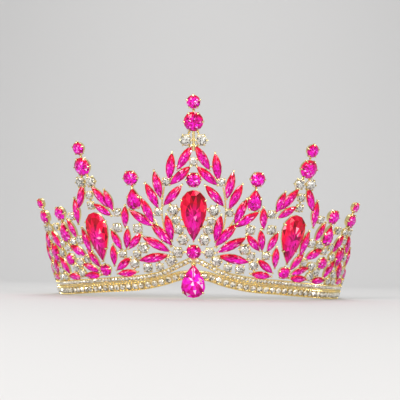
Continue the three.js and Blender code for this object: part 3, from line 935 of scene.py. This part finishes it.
def makeRail(name, make):
    curve, length = bandCurve(name + "_line", make["upAt"])
    bpy.ops.mesh.primitive_cube_add(size=1, location=(0.5, 0, 0))
    rail = bpy.context.object
    bpy.ops.object.transform_apply(location=True, rotation=True, scale=True)
    resizeAll(rail, length, make["thickness"] * mm, make["height"] * mm)
    pickEdges(rail, lambda a, b: abs(a.x - b.x) > 0.1)
    bpy.ops.mesh.subdivide(number_cuts=railMake["steps"])
    pickFaces(rail, lambda centre, normal: normal.y < -0.9)
    bpy.ops.mesh.inset(thickness=make["lip"] * mm)
    extrude(0, make["groove"], 0)
    pickEdges(rail, lambda a, b: abs(a.y - b.y) < 1e-6 and abs(a.z - b.z) < 1e-6
              and abs(abs(a.z) - make["height"] / 2 * mm) < 1e-6)
    bpy.ops.mesh.bevel(offset=railMake["bevel"] * mm, segments=2)
    bpy.ops.mesh.select_all(action="SELECT")
    bpy.ops.transform.rotate(value=-math.atan(crown["lean"]), orient_axis="X", center_override=(0, 0, 0))
    toObject()
    bend = rail.modifiers.new("along_the_band", "CURVE")
    bend.object = curve
    bpy.ops.object.modifier_apply(modifier=bend.name)
    bpy.data.objects.remove(curve)
    rail.name = name
    return rail


def makeBead():
    bpy.ops.mesh.primitive_uv_sphere_add(segments=8, ring_count=4, radius=1, location=(0, 0, 0))
    bpy.context.object.name = "bead_model"
    return bpy.context.object


beadModel = makeBead()
for name, make in (("lower_rail", railMake["low"]), ("upper_rail", railMake["top"])):
    metal = [makeRail(name, make)]
    stones = []
    cut = cuts[make["cut"]]
    out = make["thickness"] / 2 - make["groove"] + pavilionOf(cut) * railMake["stoneSink"]
    beadUp = make["height"] / 2 - make["lip"] * railMake["beadPlace"]
    along = make["first"]
    while along < make["last"]:
        for side in (1, -1):
            place = seat(side * along, make["upAt"](along))
            stones.append(stoneAt(make["cut"], place @ Matrix.Translation((0, 0, out * mm))))
            for share, way in ((0, 1), (0, -1), (0.5, 1), (0.5, -1)):
                grain = side * (along + make["pitch"] * share)
                metal.append(copyAt(beadModel, seat(grain, make["upAt"](grain)) @ Matrix.Translation(
                    (0, way * beadUp * mm, make["thickness"] / 2 * mm)) @ Matrix.Scale(make["bead"] * mm, 4)))
        along += make["pitch"]
    piece = finishPiece(joinAll(name, metal), gold, 40)
    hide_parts("crown_frame")
    finishPiece(joinAll(name + "_clear_stones", stones), glasses["clear"])
    print(name, "made", len(stones), "stones")


# posts between the rails, and an eyelet at each end of the lower one
fittings = {"postsAlong": (26, 38, 52, 68, 84, 104, 125, 146, 168), "postWidth": 1.4, "postDepth": 0.9,
            "eyelet": 5, "eyeletHole": 2, "eyeletUp": 2.7}


def makePost(along):
    low, top = lowUp(along), topUp(along)
    bpy.ops.mesh.primitive_cube_add(size=1, location=(0, 0, 0))
    post = bpy.context.object
    resizeAll(post, fittings["postWidth"] * mm, (top - low) * mm, fittings["postDepth"] * mm)
    bpy.ops.mesh.bevel(offset=0.12 * mm, segments=1)
    toObject()
    post.data.transform(seat(along, (low + top) / 2))
    return post


def makeEyelet(side):
    bpy.ops.mesh.primitive_cylinder_add(vertices=24, radius=fittings["eyelet"] / 2 * mm,
                                        depth=rails["lowThickness"] * mm, location=(0, 0, 0))
    eyelet = bpy.context.object
    pickFaces(eyelet, lambda centre, normal: abs(normal.z) > 0.9)
    bpy.ops.mesh.inset(thickness=(fittings["eyelet"] - fittings["eyeletHole"]) / 2 * mm, use_individual=True)
    bpy.ops.mesh.bridge_edge_loops()
    pickEdges(eyelet, lambda a, b: abs(a.z - b.z) < 1e-6 and a.xy.length > 2 * mm)
    bpy.ops.mesh.bevel(offset=0.3 * mm, segments=2)
    toObject()
    eyelet.data.transform(seat(side * crown["reach"], fittings["eyeletUp"]))
    return eyelet


ends = [makePost(side * along) for along in fittings["postsAlong"] for side in (1, -1)]
ends += [makeEyelet(side) for side in (1, -1)]
piece = finishPiece(joinAll("posts_and_eyelets", ends), gold, 35)
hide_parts("crown_frame")
print("posts and eyelets made")


# drop: hangs upright in front of the rails from a tapering lug, just clear of the floor
drop = {"cut": "pearDrop", "scale": 0.99, "clearance": 0.3, "footClearance": 0.5,
        "lugTip": 1.8, "lugTop": 4.4, "lugThick": 1.6, "lugSink": 0.4, "lugBevel": 0.35}


def dropPlace():
    cut = cuts[drop["cut"]]
    up = cut["length"] / 2 + drop["footClearance"]
    y = onCrown(0, lowUp(0), rails["lowThickness"] / 2).y / mm - pavilionOf(cut) - drop["clearance"]
    upright = Matrix.Rotation(math.pi / 2, 4, "X")
    return Matrix.Translation(Vector((0, y, up)) * mm) @ upright @ Matrix.Scale(drop["scale"], 4)


def makeLug(place):
    top = onCrown(0, topUp(0) - drop["lugSink"])
    bottom = place.translation + Vector((0, drop["lugThick"], cuts[drop["cut"]]["length"] * 0.4)) * mm
    bpy.ops.mesh.primitive_cube_add(size=1, location=(0, 0, 0))
    lug = bpy.context.object
    resizeAll(lug, drop["lugTip"] * mm, drop["lugThick"] * mm, (top - bottom).length)
    pickFaces(lug, lambda centre, normal: normal.z > 0.9)
    bpy.ops.transform.resize(value=(drop["lugTop"] / drop["lugTip"], 1, 1), center_override=(0, 0, 0))
    bpy.ops.mesh.select_all(action="SELECT")
    bpy.ops.mesh.bevel(offset=drop["lugBevel"] * mm, segments=2)
    toObject()
    turn = (top - bottom).to_track_quat("Z", "X").to_matrix().to_4x4()
    lug.data.transform(Matrix.Translation((top + bottom) / 2) @ turn @ Matrix.Rotation(math.pi / 2, 4, "Z"))
    return lug


place = dropPlace()
piece = finishPiece(joinAll("drop_setting", [copyAt(cupModels["pearDrop"], place), makeLug(place)]),
                    gold, 35)
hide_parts("crown_frame")
piece = finishPiece(joinAll("drop_pink_stone", [stoneAt("pearDrop", place)]), glasses["pink"])
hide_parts("drop_pear")
print("drop made")

for model in [*stoneModels.values(), *cupModels.values(), wireModel, solderModel, beadModel]:
    bpy.data.objects.remove(model)
